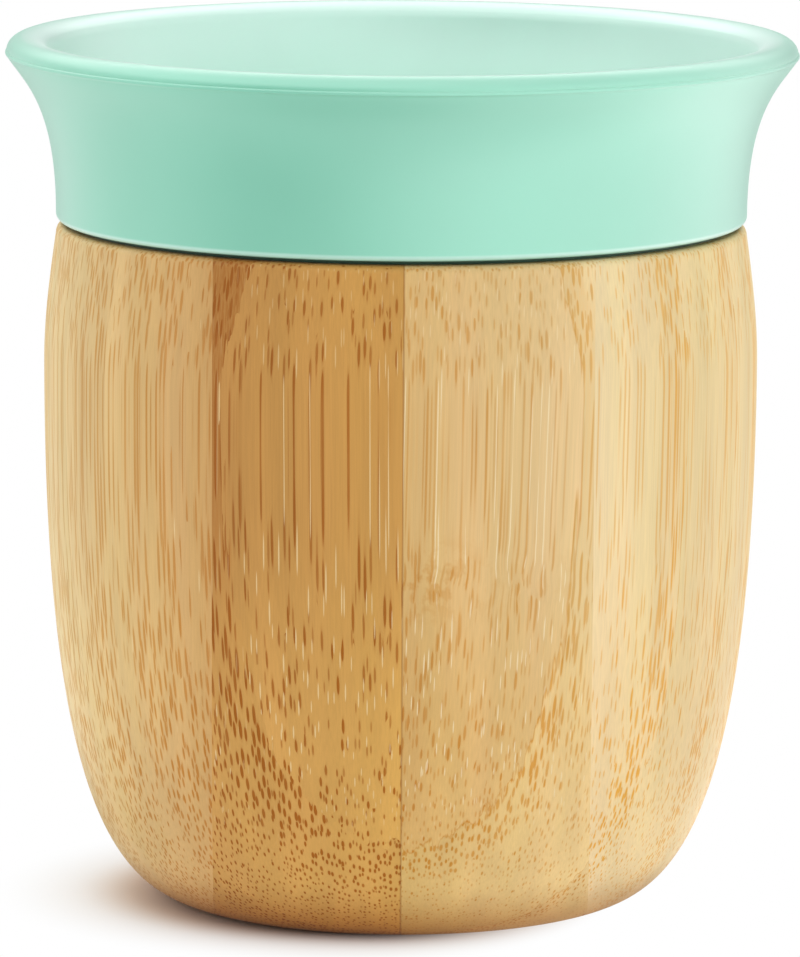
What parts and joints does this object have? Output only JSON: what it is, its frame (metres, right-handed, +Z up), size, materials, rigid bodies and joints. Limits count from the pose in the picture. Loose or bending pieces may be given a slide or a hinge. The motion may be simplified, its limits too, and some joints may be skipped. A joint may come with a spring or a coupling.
{
  "type": "bamboo cup",
  "caption": "Small bamboo drinking cup turned from glued upright planks, with a lift-out silicone liner that flares into a soft rounded lip.",
  "frame": {"origin": "centre of the foot, on the surface the cup stands on", "axes": "+Z up along the turning axis; the glue lines lie in planes parallel to YZ and the pictured side faces -Y"},
  "size_m": [0.08, 0.08, 0.0879],
  "materials": {
    "bamboo": "satin clear lacquer over caramel bamboo",
    "silicone": "matte"
  },
  "bodies": {
    "shell": {"plank_left_outer": "bamboo", "plank_left_inner": "bamboo", "plank_right_inner": "bamboo", "plank_right_outer": "bamboo"},
    "liner": {"liner": "silicone"}
  },
  "joints": [
    {"name": "liner_lift", "type": "slide", "parent": "shell", "child": "liner", "axis": [0, 0, 1], "range_m": [0, 0.08]}
  ]
}
